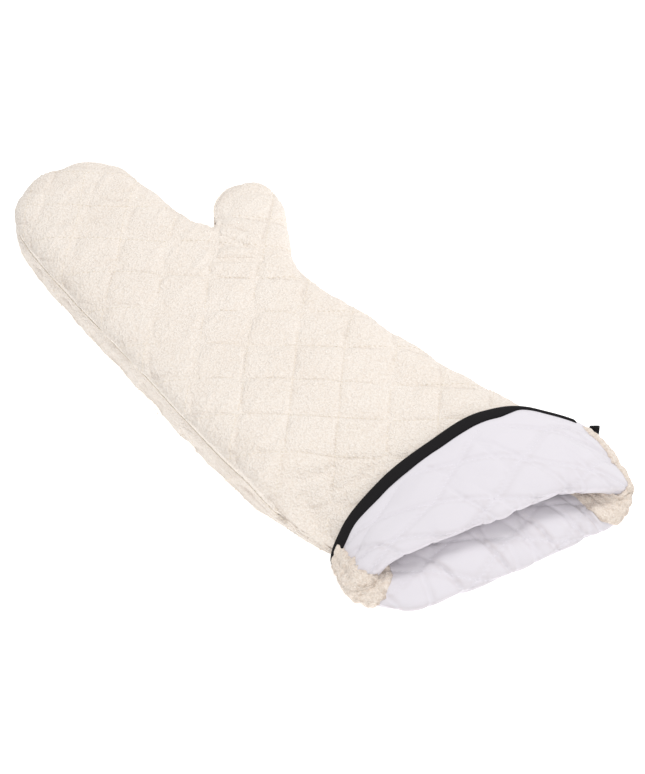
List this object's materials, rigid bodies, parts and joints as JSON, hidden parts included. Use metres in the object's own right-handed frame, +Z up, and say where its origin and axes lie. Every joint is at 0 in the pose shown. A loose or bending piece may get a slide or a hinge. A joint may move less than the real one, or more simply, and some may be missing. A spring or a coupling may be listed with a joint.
{
  "type": "oven mitt",
  "caption": "Elbow-length quilted oven mitt in natural terry cloth, with a side thumb and a turned-back cuff that shows its cotton lining and dark bound edge.",
  "frame": {"origin": "middle of the mitt's box, on the surface it lies on", "axes": "+Y along the mitt towards the fingertips, +X across it towards the thumb side, +Z up from the surface it lies on"},
  "size_m": [0.2329, 0.583, 0.0622],
  "materials": {
    "terry": "looped terry cloth, undyed cotton",
    "wadding": "matt needled wadding",
    "lining": "plain woven cotton, soft matt",
    "binding": "woven bias tape, slight sheen",
    "thread": "spun sewing thread"
  },
  "bodies": {
    "hand": {"upper_terry_shell": "terry", "lower_terry_shell": "terry", "upper_wadding": "wadding", "lower_wadding": "wadding", "upper_lining": "lining", "lower_lining": "lining", "upper_cuff_binding": "binding", "lower_cuff_binding": "binding", "upper_quilting_thread": "thread", "lower_quilting_thread": "thread", "perimeter_seam_thread": "thread"},
    "thumb": {"upper_terry_shell_thumb": "terry", "lower_terry_shell_thumb": "terry", "upper_wadding_thumb": "wadding", "lower_wadding_thumb": "wadding", "upper_lining_thumb": "lining", "lower_lining_thumb": "lining", "perimeter_seam_thread_thumb": "thread"}
  },
  "joints": [
    {"name": "thumb_fold", "type": "hinge", "parent": "hand", "child": "thumb", "pos_m": [0.0774, 0.062, 0.024], "axis": [-0.1611, 0.9869, 0], "range_deg": [-45, 45]}
  ]
}
